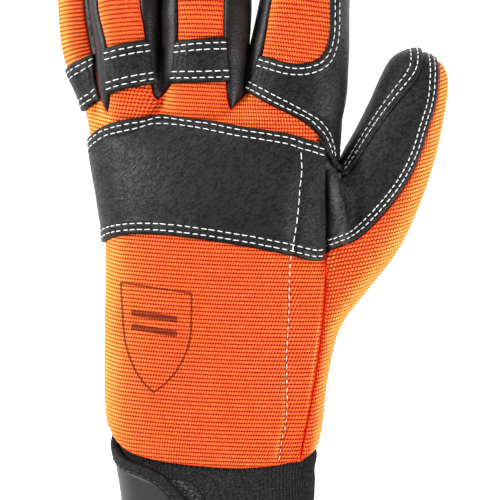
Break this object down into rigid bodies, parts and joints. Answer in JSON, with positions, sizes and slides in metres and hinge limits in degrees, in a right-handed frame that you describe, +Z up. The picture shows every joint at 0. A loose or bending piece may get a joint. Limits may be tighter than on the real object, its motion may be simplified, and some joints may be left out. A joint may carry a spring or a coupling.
{
  "type": "work glove",
  "caption": "Padded left-hand work glove for chainsaw use, with a leather palm, ribbed cloth back, leather knuckle guard, knit cuff and wrist strap.",
  "frame": {"origin": "on the flat of the palm where the glove rests, on the middle line of the hand", "axes": "+Z up, out of the back of the hand; +Y to the fingertips; +X to the thumb side"},
  "size_m": [0.1661, 0.2867, 0.0538],
  "materials": {
    "leather": "grained, soft sheen",
    "orange_cloth": "finely ribbed stretch cloth",
    "side_cloth": "smooth padded cloth",
    "cuff_knit": "elastic knit",
    "strap_face": "smooth, satin",
    "strap_trim": "woven tape",
    "loop_fabric": "brushed loops"
  },
  "bodies": {
    "root": {"palm_panel": "leather", "finger_front_little": "leather", "finger_front_ring": "leather", "finger_front_middle": "leather", "finger_front_index": "leather", "thumb_front": "leather", "back_panel": "orange_cloth", "knuckle_panel": "orange_cloth", "finger_back_little": "orange_cloth", "finger_back_ring": "orange_cloth", "finger_back_middle": "orange_cloth", "finger_back_index": "orange_cloth", "fourchette_little_ring": "side_cloth", "fourchette_ring_middle": "side_cloth", "fourchette_middle_index": "side_cloth", "thumb_leather": "leather", "thumb_back": "orange_cloth", "knuckle_guard": "leather", "band_little": "leather", "band_ring": "leather", "band_middle": "leather", "index_wrap": "leather", "thumb_crotch_patch": "leather", "cuff": "cuff_knit", "loop_patch": "loop_fabric", "wrist_strap": "strap_face", "strap_binding": "strap_trim"}
  },
  "joints": []
}
